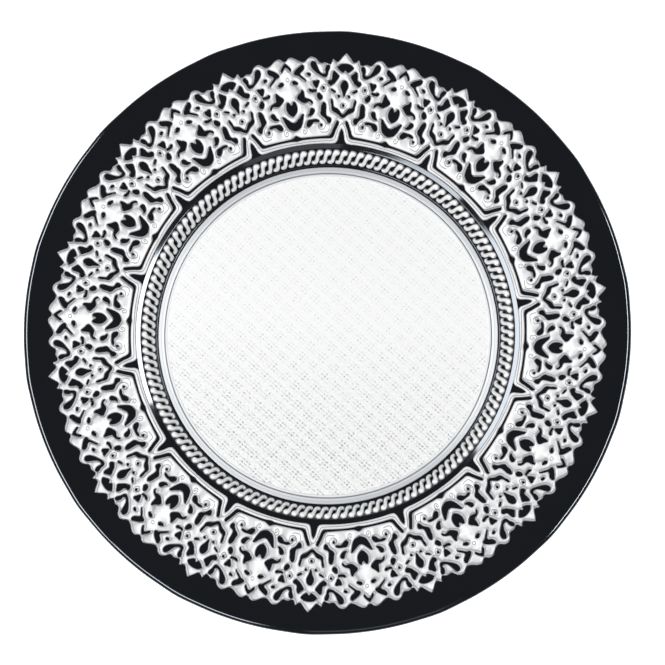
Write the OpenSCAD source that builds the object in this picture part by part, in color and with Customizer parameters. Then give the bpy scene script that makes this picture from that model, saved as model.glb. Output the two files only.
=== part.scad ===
// Charger plate: a pressed black glass plate with silver ornament in relief.
// Fourteen alike arabesque panels run round the rim, a rope of S-shaped links
// lies on the slope down to the well, and a silver medallion fills the floor.
// The origin is at the middle of the foot, on the surface the plate stands on.

/* [Plate] */
// Diameter over the rim
plate_d = 330; // [300:1:360]
// Height over all, from the foot to the top of the edge
plate_h = 24; // [22:0.5:28]
// Thickness of the glass in the floor and the slope
glass_t = 5; // [4:0.25:6]
// Thickness of the glass in the rim
rim_t = 4.5; // [3.5:0.25:5.5]
// Width of the plain lip, from the edge to the bend outside the border
lip_w = 11; // [7:0.5:16]
// Slope of the plain lip, in degrees
lip_angle = 9; // [6:0.5:12]

/* [Well] */
// Width of the slope, from the border in to the floor of the well
slope_w = 11; // [9.5:0.25:15]
// Radius of the hollow corner between floor and slope
well_fillet = 1.5; // [0.5:0.25:2]
// Distance of the foot ring from under the edge of the floor
foot_inset = 7; // [5:0.5:20]
// Width of the foot ring, on the surface it stands on
foot_w = 6; // [4:0.5:10]
// Height of the foot ring under the floor
foot_h = 1.5; // [1:0.25:2.5]

/* [Border] */
// Width of the border from its inside edge to the tips of the finials
border_w = 49; // [42:0.5:56]
// Slope of the rim under the border, in degrees
border_angle = 8; // [5:0.5:9]
// Number of alike panels in the border
panels = 14; // [10:1:20]
// Height of the silver border over the glass
relief_t = 0.8; // [0.5:0.1:1.2]
// Plain glass between the finials and the bend of the lip
lip_gap = 1; // [0.5:0.25:3]
// Plain verge between the border and the shoulder
verge_w = 2.6; // [1.5:0.1:3.5]
// Slope of the verge, in degrees
verge_angle = 22; // [14:1:28]
// Radius of the shoulder between slope and verge
shoulder_r = 1.5; // [0.5:0.25:2.5]

/* [Rope] */
// Number of links in front of each panel
links_per_panel = 10; // [8:1:12]
// Plain glass between the foot of the slope and the rope, along the slope
rope_gap = 1; // [0.75:0.05:2]
// Height of the links over the glass
rope_t = 1.6; // [1:0.1:2]

/* [Medallion] */
// Width of the plain band round the medallion
band_w = 3.3; // [2:0.1:5]
// Height of the plain band over the floor
band_t = 1; // [0.7:0.1:1.4]
// Black groove between the band and the foot of the slope
band_gap = 0.9; // [0.8:0.1:2]
// Fine groove between the band and the medallion
medallion_gap = 0.4; // [0.4:0.1:1.2]
// Height of the medallion's field over the floor
medallion_t = 0.8; // [0.5:0.1:1.2]
// Width of the medallion's raised rim
medallion_rim_w = 1.4; // [0.8:0.1:2.5]

/* [Hidden] */
$fn = 96;

function panel_name(k) = str("border_panel_", k < 10 ? "0" : "", k);

// Flats in each rounded corner, and round the edge
fillet_steps = 6;
edge_steps = 16;
// How far the cutting shapes stand past what they cut
overrun = 5;
// Widening of the foot ring towards the floor, on each side
foot_flare = 0.8;
// Radius under the shoulder
under_shoulder_r = 2;
// Round on the band's edges, and height of the medallion's rim over its field
band_round = 0.4;
medallion_rim_t = 0.25;
// Diameter of the small eyes in the scrolls
eye_d = 1.3;

// Radii and heights of the plate, worked inwards from the edge
plate_r = plate_d / 2;
edge_r = rim_t / 2;
edge_at = [plate_r - edge_r, plate_h - edge_r];
lip_start = edge_at + edge_r * [-sin(lip_angle), cos(lip_angle)];
bend_r = plate_r - lip_w;
border_r = bend_r - lip_gap - border_w;
bend = [bend_r, lip_start[1] - (lip_start[0] - bend_r) * tan(lip_angle)];
floor_z = foot_h + glass_t;
well = [border_r - slope_w, floor_z];
brim = [border_r, rim_z(border_r)];
shoulder = brim - verge_w * [1, tan(verge_angle)];
slope_angle = atan2(shoulder[1] - well[1], shoulder[0] - well[0]);
shoulder_reach = shoulder_r * tan((slope_angle - verge_angle) / 2);
foot_r = well[0] - foot_inset;

// The rope's width and inside edge on the slope, and the turn from link to link
rope_w = norm(shoulder - well) - shoulder_reach - rope_gap;
links = panels * links_per_panel;
link_turn = 360 / links;
rope_at = well + rope_gap * [cos(slope_angle), sin(slope_angle)];

// Silver on the floor of the well
band_r = well[0] - band_gap;
medallion_r = band_r - band_w - medallion_gap;

// Outline of the border from the rosette axis to the finial axis, outside and
// then back inside. In this and the tables of windows the first share runs round
// the plate, from 0 on a rosette's axis to 1 on the next finial's, and the second
// runs out, from 0 at the border's inside edge to 1 at the finials' tips.
outer_shares = [[0, 0.935], [0.05, 0.957], [0.1, 0.971], [0.165, 0.955], [0.235, 0.922],
    [0.3, 0.907], [0.345, 0.922], [0.39, 0.951], [0.45, 0.961], [0.505, 0.944], [0.545, 0.914],
    [0.58, 0.888], [0.65, 0.893], [0.73, 0.873], [0.765, 0.893], [0.785, 0.932], [0.84, 0.905],
    [0.87, 0.902], [0.91, 0.93], [0.96, 0.974], [1, 1]];
inner_shares = [[1, 0.165], [0.975, 0.145], [0.955, 0.115], [0.94, 0.075], [0.92, 0.035],
    [0.88, 0.008], [0.84, -0.01], [0, -0.06]];

// Half windows that cross a rosette's axis: arch, round heart, crescent, and the
// fine channel that parts the lace from the moulding under it
rosette_shares = [
    [[0.004, 0.907], [0.03, 0.893], [0.06, 0.868], [0.086, 0.838], [0.08, 0.822], [0.062, 0.826],
     [0.04, 0.848], [0.02, 0.862], [0.004, 0.868]],
    [[0.004, 0.443], [0.022, 0.452], [0.035, 0.473], [0.058, 0.484], [0.083, 0.473], [0.1, 0.442],
     [0.104, 0.41], [0.094, 0.378], [0.07, 0.355], [0.004, 0.326]],
    [[0.004, 0.25], [0.045, 0.259], [0.09, 0.281], [0.175, 0.328], [0.215, 0.336], [0.205, 0.308],
     [0.188, 0.272], [0.165, 0.235], [0.13, 0.2], [0.08, 0.18], [0.004, 0.166]],
    [[0.004, 0.105], [0.045, 0.094], [0.1, 0.078], [0.4, 0.075], [0.725, 0.084], [0.77, 0.107],
     [0.87, 0.228], [0.902, 0.252], [0.93, 0.24], [0.92, 0.208], [0.83, 0.09], [0.785, 0.067],
     [0.4, 0.059], [0.1, 0.055], [0.004, 0.048]]];

// Half windows that cross a finial's axis: lunette, keyhole and chevron
finial_shares = [
    [[1, 0.875], [0.95, 0.873], [0.905, 0.863], [0.862, 0.836], [0.895, 0.812], [0.93, 0.793],
     [0.962, 0.784], [0.982, 0.797], [1, 0.811]],
    [[1, 0.693], [0.968, 0.685], [0.944, 0.664], [0.933, 0.637], [0.94, 0.61], [0.96, 0.585],
     [0.985, 0.53], [1, 0.517]],
    [[1, 0.319], [0.98, 0.325], [0.928, 0.363], [0.895, 0.381], [0.817, 0.405], [0.798, 0.466],
     [0.778, 0.49], [0.758, 0.472], [0.775, 0.41], [0.777, 0.38], [0.8, 0.359], [0.885, 0.333],
     [0.945, 0.305], [0.975, 0.292], [1, 0.289]]];

// Windows inside each half of a panel
side_shares = [
    // Hooked leaf beside the rosette
    [[0.285, 0.876], [0.245, 0.862], [0.15, 0.815], [0.124, 0.785], [0.19, 0.763], [0.265, 0.721],
     [0.322, 0.694], [0.318, 0.708], [0.255, 0.75], [0.225, 0.772], [0.238, 0.795],
     [0.275, 0.812], [0.302, 0.834], [0.306, 0.862]],
    // Eye of the upper scroll
    [[0.344, 0.768], [0.36, 0.783], [0.387, 0.781], [0.411, 0.765], [0.404, 0.752],
     [0.375, 0.753]],
    // Upper scroll with its knob
    [[0.461, 0.906], [0.497, 0.895], [0.522, 0.862], [0.57, 0.787], [0.607, 0.766],
     [0.645, 0.762], [0.668, 0.774], [0.66, 0.803], [0.667, 0.835], [0.688, 0.857],
     [0.714, 0.862], [0.737, 0.848], [0.73, 0.82], [0.708, 0.79], [0.7, 0.758], [0.682, 0.737],
     [0.648, 0.731], [0.605, 0.74], [0.505, 0.786], [0.43, 0.842], [0.42, 0.875],
     [0.434, 0.897]],
    // Wing beside the finial
    [[0.815, 0.796], [0.865, 0.765], [0.9, 0.743], [0.88, 0.715], [0.83, 0.67], [0.755, 0.638],
     [0.722, 0.65], [0.704, 0.671], [0.722, 0.689], [0.763, 0.694], [0.78, 0.712],
     [0.782, 0.745], [0.793, 0.783]],
    // Slit under the wing
    [[0.754, 0.591], [0.77, 0.6], [0.8, 0.591], [0.848, 0.569], [0.832, 0.561], [0.79, 0.572]],
    // Tall window between two stems
    [[0.632, 0.453], [0.656, 0.441], [0.667, 0.408], [0.662, 0.36], [0.665, 0.318],
     [0.69, 0.296], [0.765, 0.276], [0.766, 0.248], [0.735, 0.225], [0.7, 0.23], [0.63, 0.288],
     [0.58, 0.307], [0.555, 0.33], [0.573, 0.41], [0.6, 0.442]],
    // Round window in the lower scroll
    [[0.5, 0.53], [0.515, 0.553], [0.542, 0.557], [0.574, 0.54], [0.603, 0.515], [0.59, 0.493],
     [0.556, 0.483], [0.522, 0.493]],
    // Heart under the upper scroll
    [[0.436, 0.678], [0.453, 0.692], [0.492, 0.687], [0.532, 0.697], [0.555, 0.688],
     [0.512, 0.622], [0.49, 0.614], [0.468, 0.63]],
    // Slit under the heart
    [[0.356, 0.596], [0.376, 0.607], [0.412, 0.597], [0.495, 0.597], [0.497, 0.58],
     [0.44, 0.571], [0.385, 0.574]],
    // Small leaf on the rosette's petal
    [[0.075, 0.69], [0.092, 0.707], [0.118, 0.709], [0.178, 0.679], [0.155, 0.667],
     [0.105, 0.67]],
    // Winged comma beside the rosette
    [[0.238, 0.602], [0.258, 0.583], [0.264, 0.545], [0.275, 0.51], [0.365, 0.49], [0.4, 0.472],
     [0.414, 0.45], [0.396, 0.443], [0.34, 0.472], [0.24, 0.459], [0.15, 0.499], [0.126, 0.515],
     [0.142, 0.542], [0.185, 0.563], [0.217, 0.587]],
    // Leaf under the winged comma
    [[0.37, 0.39], [0.415, 0.389], [0.44, 0.37], [0.422, 0.344], [0.385, 0.322], [0.34, 0.31],
     [0.297, 0.316], [0.33, 0.336], [0.347, 0.367]],
    // Long comma over the moulding
    [[0.25, 0.21], [0.268, 0.243], [0.305, 0.262], [0.45, 0.268], [0.505, 0.262], [0.53, 0.248],
     [0.43, 0.243], [0.39, 0.235], [0.3, 0.192], [0.264, 0.196]]];

// Middles of the small eyes, beside the finial's axis and on it
eye_shares = [[0.625, 0.612], [0.905, 0.52], [0.56, 0.206]];
finial_eye_shares = [[1, 0.421]];

// Outline of one link of the rope. The first share runs along the rope, counted in
// links from the middle of this one, and the second across it, inside to outside.
link_shares = [[0.71, 0.7], [0.69, 0.86], [0.46, 0.985], [0.14, 0.97], [-0.08, 0.86],
    [-0.22, 0.7], [-0.3, 0.55], [-0.4, 0.41], [-0.54, 0.37], [-0.64, 0.38], [-0.71, 0.3],
    [-0.69, 0.14], [-0.46, 0.015], [-0.14, 0.03], [0.08, 0.14], [0.22, 0.3], [0.3, 0.45],
    [0.4, 0.59], [0.54, 0.63], [0.64, 0.62]];
// Turn of the first link from the first finial
link_start_share = 0.15;
// Reach of a link to either side of its middle
link_reach_share = 0.71;

// Rise of the hollow slope at a link's ends over the flat under its middle
link_reach = link_reach_share * rope_at[0] * sin(link_turn);
link_seat = pow(link_reach, 2) * sin(slope_angle) / (2 * rope_at[0]);

// Height of the rim's top face at a radius under the border
function rim_z(r) = bend[1] - (bend_r - r) * tan(border_angle);

// Corner of a line at angle a and the next at angle b, moved t below them both
function below(corner, a, b, t) =
    corner + t / cos((b - a) / 2) * [sin((a + b) / 2), -cos((a + b) / 2)];

// Round of radius r in that corner
function round_corner(corner, a, b, r) =
    let (side = sign(b - a), middle = below(corner, a, b, -side * r))
    [for (k = [0 : fillet_steps])
        let (turn = a + (b - a) * k / fillet_steps)
        middle + side * r * [sin(turn), -cos(turn)]];

function reversed(points) = [for (k = [len(points) - 1 : -1 : 0]) points[k]];

// Shares mirrored on the axis at that first share
function flipped(points, axis) = reversed([for (p = points) [2 * axis - p[0], p[1]]]);

// A half window with its other half
function whole(points, axis) = concat(points, flipped(points, axis));

// Shares of the border to places on the plate, with the panel's finial on +Y
function on_rim(points) =
    [for (p = points)
        let (r = border_r + p[1] * border_w, turn = (p[0] - 1) * 180 / panels)
        r * [sin(turn), cos(turn)]];

// Shares of the rope to places on the slope, laid flat
function on_slope(points) =
    [for (p = points)
        let (y = p[1] * rope_w, r = rope_at[0] + y * cos(slope_angle))
        [p[0] * r * sin(link_turn), y]];

// Glass plate: floor, foot ring, slope and rim in one pressed piece
module glass_plate() {
    under_well = below(well, 0, slope_angle, glass_t);
    under_shoulder = below(shoulder, slope_angle, border_angle, rim_t);
    top = concat(
        [[0, floor_z]],
        round_corner(well, 0, slope_angle, well_fillet),
        round_corner(shoulder, slope_angle, verge_angle, shoulder_r),
        [brim, bend]);
    edge = [for (k = [0 : edge_steps])
        let (turn = lip_angle - 180 * k / edge_steps)
        edge_at + edge_r * [-sin(turn), cos(turn)]];
    under = concat(
        [below(bend, border_angle, lip_angle, rim_t)],
        reversed(round_corner(under_shoulder, slope_angle, border_angle, under_shoulder_r)),
        reversed(round_corner(under_well, 0, slope_angle, well_fillet + glass_t)),
        [[foot_r + foot_flare, foot_h], [foot_r, 0], [foot_r - foot_w, 0],
         [foot_r - foot_w - foot_flare, foot_h], [0, foot_h]]);
    color([0.1, 0.1, 0.11])
    rotate_extrude() polygon(concat(top, edge, under));
}

// Flat outline of one panel, from rosette axis to rosette axis
module panel_outline() {
    difference() {
        polygon(on_rim(concat(outer_shares, flipped(outer_shares, 1),
            flipped(inner_shares, 1), inner_shares)));
        circle(border_r);
        for (w = rosette_shares) {
            polygon(on_rim(whole(w, 0)));
            polygon(on_rim(flipped(whole(w, 0), 1)));
        }
        for (w = finial_shares) polygon(on_rim(whole(w, 1)));
        for (w = side_shares) {
            polygon(on_rim(w));
            polygon(on_rim(flipped(w, 1)));
        }
        for (p = on_rim(concat(eye_shares, flipped(eye_shares, 1), finial_eye_shares)))
            translate(p) circle(d = eye_d);
    }
}

// One panel of the border, seated on the rim
module border_panel(k) {
    color([0.9, 0.9, 0.91])
    rotate(-(k - 1) * 360 / panels)
    intersection() {
        translate([0, 0, rim_z(border_r) - overrun])
            linear_extrude(bend[1] - rim_z(border_r) + 2 * overrun) panel_outline();
        rotate_extrude() polygon([
            [border_r - overrun, rim_z(border_r - overrun)],
            [bend_r + overrun, rim_z(bend_r + overrun)],
            [bend_r + overrun, rim_z(bend_r + overrun) + relief_t],
            [border_r - overrun, rim_z(border_r - overrun) + relief_t]]);
    }
}

// Rope of S-shaped links, each lying flat on the slope
module rope_links() {
    color([0.88, 0.88, 0.9])
    for (k = [0 : links - 1])
        rotate(-(k + link_start_share) * link_turn)
        translate([0, rope_at[0], rope_at[1]])
        rotate([slope_angle, 0, 0])
        translate([0, 0, link_seat])
        linear_extrude(rope_t) polygon(on_slope(link_shares));
}

// Plain silver band round the medallion
module well_band() {
    top = floor_z + band_t;
    color([0.86, 0.86, 0.88])
    rotate_extrude() polygon([
        [band_r - band_w, floor_z], [band_r, floor_z], [band_r, top - band_round],
        [band_r - band_round, top], [band_r - band_w + band_round, top],
        [band_r - band_w, top - band_round]]);
}

// Silver medallion with a low rim round its field
module centre_medallion() {
    field = floor_z + medallion_t;
    rim = field + medallion_rim_t;
    rim_r = medallion_r - medallion_rim_w;
    color([0.93, 0.93, 0.93])
    rotate_extrude() polygon([
        [0, floor_z], [medallion_r, floor_z], [medallion_r, field],
        [medallion_r - medallion_rim_t, rim], [rim_r + medallion_rim_t, rim],
        [rim_r, field], [0, field]]);
}

glass_plate();
for (k = [1 : panels]) border_panel(k);
rope_links();
well_band();
centre_medallion();
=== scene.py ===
"""Charger plate of pressed black glass with silver ornament in relief, dressed over its frame."""
from math import atan2, cos, hypot, pi, radians, sin, sqrt, tan

import bmesh
import bpy
import numpy as np
from mathutils import Matrix, Vector
from mathutils.geometry import delaunay_2d_cdt


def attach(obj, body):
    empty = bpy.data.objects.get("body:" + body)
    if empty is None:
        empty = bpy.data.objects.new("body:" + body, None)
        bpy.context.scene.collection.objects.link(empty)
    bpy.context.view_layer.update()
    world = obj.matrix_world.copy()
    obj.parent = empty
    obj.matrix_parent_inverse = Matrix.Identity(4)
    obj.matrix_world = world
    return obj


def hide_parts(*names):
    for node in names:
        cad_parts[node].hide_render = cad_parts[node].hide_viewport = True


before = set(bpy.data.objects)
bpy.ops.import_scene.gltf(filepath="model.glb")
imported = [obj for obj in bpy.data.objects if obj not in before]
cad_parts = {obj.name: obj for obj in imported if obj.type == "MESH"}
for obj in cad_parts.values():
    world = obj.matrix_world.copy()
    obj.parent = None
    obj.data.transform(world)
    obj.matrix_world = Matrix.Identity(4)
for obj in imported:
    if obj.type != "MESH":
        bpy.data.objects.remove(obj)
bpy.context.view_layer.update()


# Glass plate
# One gob of black soda-lime glass, pressed in a ring mould and fire-polished, so its corners are
# soft and its edge swells a little outside each finial. It carries all the silver.
mm = 0.001
plate_r, plate_h = 165.0, 24.0
glass_t, rim_t = 5.0, 4.5
lip_w, lip_gap, border_w, verge_w, slope_w = 11.0, 1.0, 49.0, 2.6, 11.0
well_fillet, shoulder_r, under_shoulder_r, brim_round, bend_round = 1.5, 1.5, 2.0, 1.0, 20.0
foot_inset, foot_w, foot_h, foot_flare, foot_soft, foot_step = 7.0, 6.0, 1.5, 0.8, 0.3, 0.1
lip_tilt, border_tilt, verge_tilt = radians(9), radians(8), radians(22)
repeats = 14

edge_r, roll_w = rim_t / 2, 4.0
edge_at = np.array([plate_r - edge_r, plate_h - edge_r])
lip_start = edge_at + edge_r * np.array([-sin(lip_tilt), cos(lip_tilt)])
bend_r = plate_r - lip_w
bend_z = lip_start[1] - (lip_start[0] - bend_r) * tan(lip_tilt)
border_r = bend_r - lip_gap - border_w
well_r, floor_z = border_r - slope_w, foot_h + glass_t
foot_r = well_r - foot_inset


def rim_z(r):
    """Height of the rim's top face under the border."""
    return bend_z - (bend_r - r) * tan(border_tilt)


well = np.array([well_r, floor_z])
brim = np.array([border_r, rim_z(border_r)])
shoulder = brim - verge_w * np.array([1, tan(verge_tilt)])
slope_tilt = atan2(shoulder[1] - floor_z, shoulder[0] - well_r)


def below(corner, before, after, t):
    """The corner of two lines at these slopes, moved t under both."""
    middle = (before + after) / 2
    return corner + t / cos((after - before) / 2) * np.array([sin(middle), -cos(middle)])


def soft_corner(corner, before, after, radius, steps=10):
    """Round of that radius between two lines at these slopes."""
    side = 1 if after > before else -1
    centre = below(corner, before, after, -side * radius)
    turns = [before + (after - before) * k / steps for k in range(steps + 1)]
    return [centre + side * radius * np.array([sin(t), -cos(t)]) for t in turns]


def hold(points, margin=0.4):
    """The profile with a point close to each end of its long straights, so that they shade flat."""
    held = [points[0]]
    for a, b in zip(points, points[1:]):
        a, b = np.array(a), np.array(b)
        length = np.linalg.norm(b - a)
        if length > 3 * margin:
            held += [a + (b - a) * margin / length, b - (b - a) * margin / length]
        held.append(b)
    return held


def turned(name, profile, sides, swell=lambda r, turn: r):
    """A piece turned round the plate's axis. A profile that starts on the axis ends on it too."""
    rings, bm = [], bmesh.new()
    for r, z in profile:
        if r < 1e-6:
            rings.append([bm.verts.new((0, 0, z * mm))] * sides)
            continue
        ring = []
        for k in range(sides):
            turn = 2 * pi * k / sides
            spread = swell(r, turn) * mm
            ring.append(bm.verts.new((spread * sin(turn), spread * cos(turn), z * mm)))
        rings.append(ring)
    if profile[0][0] > 1e-6:
        rings.append(rings[0])
    for low, high in zip(rings, rings[1:]):
        for k in range(sides):
            corners = [low[k], low[k - 1], high[k - 1], high[k]]
            face = bm.faces.new(list(dict.fromkeys(corners)))
            face.smooth = True
    bmesh.ops.recalc_face_normals(bm, faces=bm.faces)
    mesh = bpy.data.meshes.new(name)
    bm.to_mesh(mesh)
    bm.free()
    piece = bpy.data.objects.new(name, mesh)
    bpy.context.scene.collection.objects.link(piece)
    return piece


edge_draw, wave_shares = 0.28, (0.42, 0.29, 0.19, 0.1)


def edge_swell(r, turn):
    """The edge stands furthest out at each finial, and draws in a third of a millimetre between."""
    lift = max(0.0, (r - bend_r) / (plate_r - bend_r))
    wave = sum(share * cos(repeats * n * turn) for n, share in enumerate(wave_shares, 1))
    return r - edge_draw * lift ** 2 * (1 - wave)


along_lip = np.array([cos(lip_tilt), sin(lip_tilt)])
off_lip = np.array([-sin(lip_tilt), cos(lip_tilt)])
edge = [edge_at + edge_r * sin(t) * off_lip + (roll_w * (cos(t) - 1) + edge_r) * along_lip
        for t in np.linspace(pi / 2, -pi / 2, 25)]
bend = np.array([bend_r, bend_z])
# One side of the foot, from the underside of the floor down to the ground, by its reach and height
foot_side = [(foot_flare + foot_soft, foot_h), (foot_flare, foot_h - foot_step),
             (foot_step, 1.5 * foot_step), (-foot_soft, 0)]
foot = ([(foot_r + reach, z) for reach, z in foot_side]
        + [(foot_r - foot_w - reach, z) for reach, z in foot_side[::-1]])
few_steps = 4
glass_profile = hold(
    [np.array([0, floor_z])]
    + soft_corner(well, 0, slope_tilt, well_fillet)
    + soft_corner(shoulder, slope_tilt, verge_tilt, shoulder_r)
    + soft_corner(brim, verge_tilt, border_tilt, brim_round, few_steps)
    + soft_corner(bend, border_tilt, lip_tilt, bend_round, few_steps)
    + edge
    + soft_corner(below(bend, border_tilt, lip_tilt, rim_t),
                  border_tilt, lip_tilt, bend_round, few_steps)[::-1]
    + soft_corner(below(shoulder, slope_tilt, border_tilt, rim_t),
                  slope_tilt, border_tilt, under_shoulder_r)[::-1]
    + soft_corner(below(well, 0, slope_tilt, glass_t), 0, slope_tilt, well_fillet + glass_t)[::-1]
    + [np.array(p) for p in foot + [(0, foot_h)]])
glass = turned("pressed_glass", glass_profile, 24 * repeats, edge_swell)


def srgb(code):
    """Linear colour of a hex code."""
    parts = [int(code[k:k + 2], 16) / 255 for k in (1, 3, 5)]
    return [c / 12.92 if c <= 0.04045 else ((c + 0.055) / 1.055) ** 2.4 for c in parts] + [1.0]


def add(tree, kind, feeds={}, **settings):
    """Adds a node with its settings, and sets or links the sockets that feed it."""
    made = tree.nodes.new(kind)
    for name, value in settings.items():
        setattr(made, name, value)
    for socket, value in feeds.items():
        if isinstance(value, bpy.types.NodeSocket):
            tree.links.new(value, made.inputs[socket])
        else:
            made.inputs[socket].default_value = value
    return made


def new_material(name):
    """An empty material and its tree."""
    material = bpy.data.materials.new(name)
    material.use_nodes = True
    material.node_tree.nodes.clear()
    return material, material.node_tree


# Fire-polished black glass: the flame melts the skin smooth, so it is glossy with a slow ripple
# left by the mould, and the black is faintly blue.
black_glass, tree = new_material("black_glass_fire_polished")
place = add(tree, "ShaderNodeTexCoord").outputs["Object"]
ripple = add(tree, "ShaderNodeTexNoise", {"Vector": place, "Scale": 1 / (14 * mm), "Detail": 1.0})
cloud = add(tree, "ShaderNodeTexNoise", {"Vector": place, "Scale": 1 / (40 * mm), "Detail": 3.0})
tint = add(tree, "ShaderNodeMix", {"Factor": cloud.outputs["Fac"], "A": srgb("#060709"),
                                   "B": srgb("#0B0C10")}, data_type="RGBA")
polish_and_edge_shade = add(tree, "ShaderNodeMapRange", {"Value": cloud.outputs["Fac"], "From Min": 0.3,
                                          "From Max": 0.7, "To Min": 0.04, "To Max": 0.1})
dimple = add(tree, "ShaderNodeBump", {"Height": ripple.outputs["Fac"], "Strength": 0.25,
                                      "Distance": 0.12 * mm})
skin = add(tree, "ShaderNodeBsdfPrincipled", {
    "Base Color": tint.outputs["Result"], "Roughness": polish_and_edge_shade.outputs["Result"],
    "Normal": dimple.outputs["Normal"], "IOR": 1.74, "Specular Tint": srgb("#EEF6FF")})
add(tree, "ShaderNodeOutputMaterial", {"Surface": skin.outputs["BSDF"]})
glass.data.materials.append(black_glass)
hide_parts("glass_plate")
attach(glass, "root")


# Border
# Arabesque lace over a moulding, raised in the pressing and plated with silver. One repeat runs
# from rosette to rosette round a finial, is the same on both sides, and lies fourteen times round
# the rim.
relief_t = 0.8
# In its outlines the first share runs round the plate, from 0 on a rosette's axis to 1 on the
# finial's, and the second out, from 0 at the inside edge to 1 at the finial's tip. A share given
# twice is a corner
outer_shares = [
    (0, 0.935), (0, 0.935), (0.025, 0.94), (0.05, 0.958), (0.085, 0.97), (0.125, 0.968),
    (0.17, 0.953), (0.215, 0.932), (0.26, 0.914), (0.31, 0.908), (0.345, 0.922), (0.38, 0.945),
    (0.42, 0.959), (0.465, 0.958), (0.51, 0.942), (0.545, 0.914), (0.575, 0.89), (0.61, 0.886),
    (0.65, 0.893), (0.69, 0.886), (0.73, 0.873), (0.758, 0.882), (0.77, 0.905), (0.785, 0.932),
    (0.785, 0.932), (0.81, 0.922), (0.84, 0.905), (0.87, 0.902), (0.9, 0.921), (0.94, 0.957),
    (0.975, 0.984), (1, 1), (1, 1)]
inner_shares = [
    (1, 0.165), (1, 0.165), (0.975, 0.145), (0.955, 0.115), (0.94, 0.075), (0.92, 0.035),
    (0.88, 0.008), (0.82, 0), (0.6, 0), (0.4, 0), (0.2, 0), (0, 0), (0, 0)]
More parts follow.
